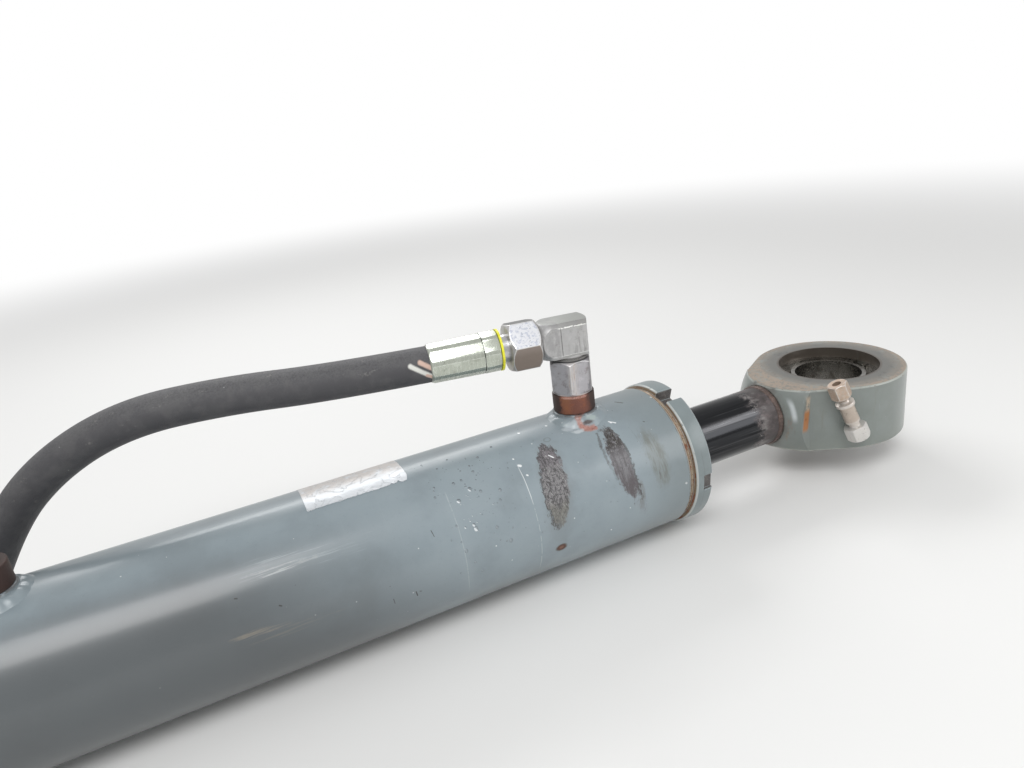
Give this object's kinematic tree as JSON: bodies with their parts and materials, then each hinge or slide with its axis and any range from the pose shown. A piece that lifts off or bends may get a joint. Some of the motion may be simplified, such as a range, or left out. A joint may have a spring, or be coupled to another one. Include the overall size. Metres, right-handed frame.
{
  "type": "hydraulic steering cylinder",
  "caption": "Double-acting steering cylinder with spherical bearings in both eyes, sliding chromed rod, port fittings and a crimped pressure hose.",
  "frame": {"origin": "centre of the base-end spherical bearing", "axes": "+X along the cylinder from the base eye to the rod eye, +Z along both pins towards the port side"},
  "size_m": [0.816, 0.1734, 0.1727],
  "materials": {
    "barrel_paint": "satin blue-grey paint, scuffed and water-spotted",
    "eye_paint": "satin grey-green paint, greasy",
    "chrome": "polished hard chrome",
    "bearing_steel": "ground and greased",
    "zinc": "zinc plated, weathered",
    "ferrule_zinc": "pale greenish zinc",
    "rusty_steel": "brown rust",
    "lube_steel": "zinc with tan grease film",
    "hose_rubber": "matte black cover, dusty",
    "seal_rubber": "smooth",
    "yellow_plastic": "bright yellow",
    "iron": "machined"
  },
  "bodies": {
    "base_ring": {"base_bearing_inner": "bearing_steel"},
    "barrel": {"base_bearing_outer": "bearing_steel", "base_circlip_upper": "bearing_steel", "base_circlip_lower": "bearing_steel", "base_eye": "barrel_paint", "base_cap": "barrel_paint", "base_grease_nipple": "zinc", "base_weld": "barrel_paint", "barrel_tube": "barrel_paint", "base_port_boss": "barrel_paint", "base_port_adapter": "rusty_steel", "rod_port_boss": "barrel_paint", "rod_port_adapter": "rusty_steel", "rod_port_nut": "zinc", "rod_port_elbow": "zinc", "hose_nut": "zinc", "hose_stem": "zinc", "hose_colour_ring": "yellow_plastic", "hose_ferrule": "ferrule_zinc", "hose": "hose_rubber", "hose_far_ferrule": "ferrule_zinc", "hose_far_ring": "yellow_plastic", "hose_far_stem": "zinc", "hose_far_nut": "zinc", "gland": "barrel_paint", "wiper_seal": "seal_rubber"},
    "rod": {"rod": "chrome", "piston": "iron", "rod_weld": "rusty_steel", "rod_eye": "eye_paint", "rod_bearing_outer": "bearing_steel", "rod_circlip_upper": "bearing_steel", "rod_circlip_lower": "bearing_steel", "lube_elbow": "lube_steel", "lube_nut": "lube_steel"},
    "rod_ring": {"rod_bearing_inner": "bearing_steel"}
  },
  "joints": [
    {"name": "base_swivel", "type": "hinge", "parent": "base_ring", "child": "barrel", "pos_m": [0, 0, 0], "axis": [0, 0, 1], "continuous": true},
    {"name": "rod_slide", "type": "slide", "parent": "barrel", "child": "rod", "axis": [1, 0, 0], "range_m": [-0.075, 0.255]},
    {"name": "rod_swivel", "type": "hinge", "parent": "rod", "child": "rod_ring", "pos_m": [0.691, 0, 0], "axis": [0, 0, 1], "continuous": true}
  ]
}
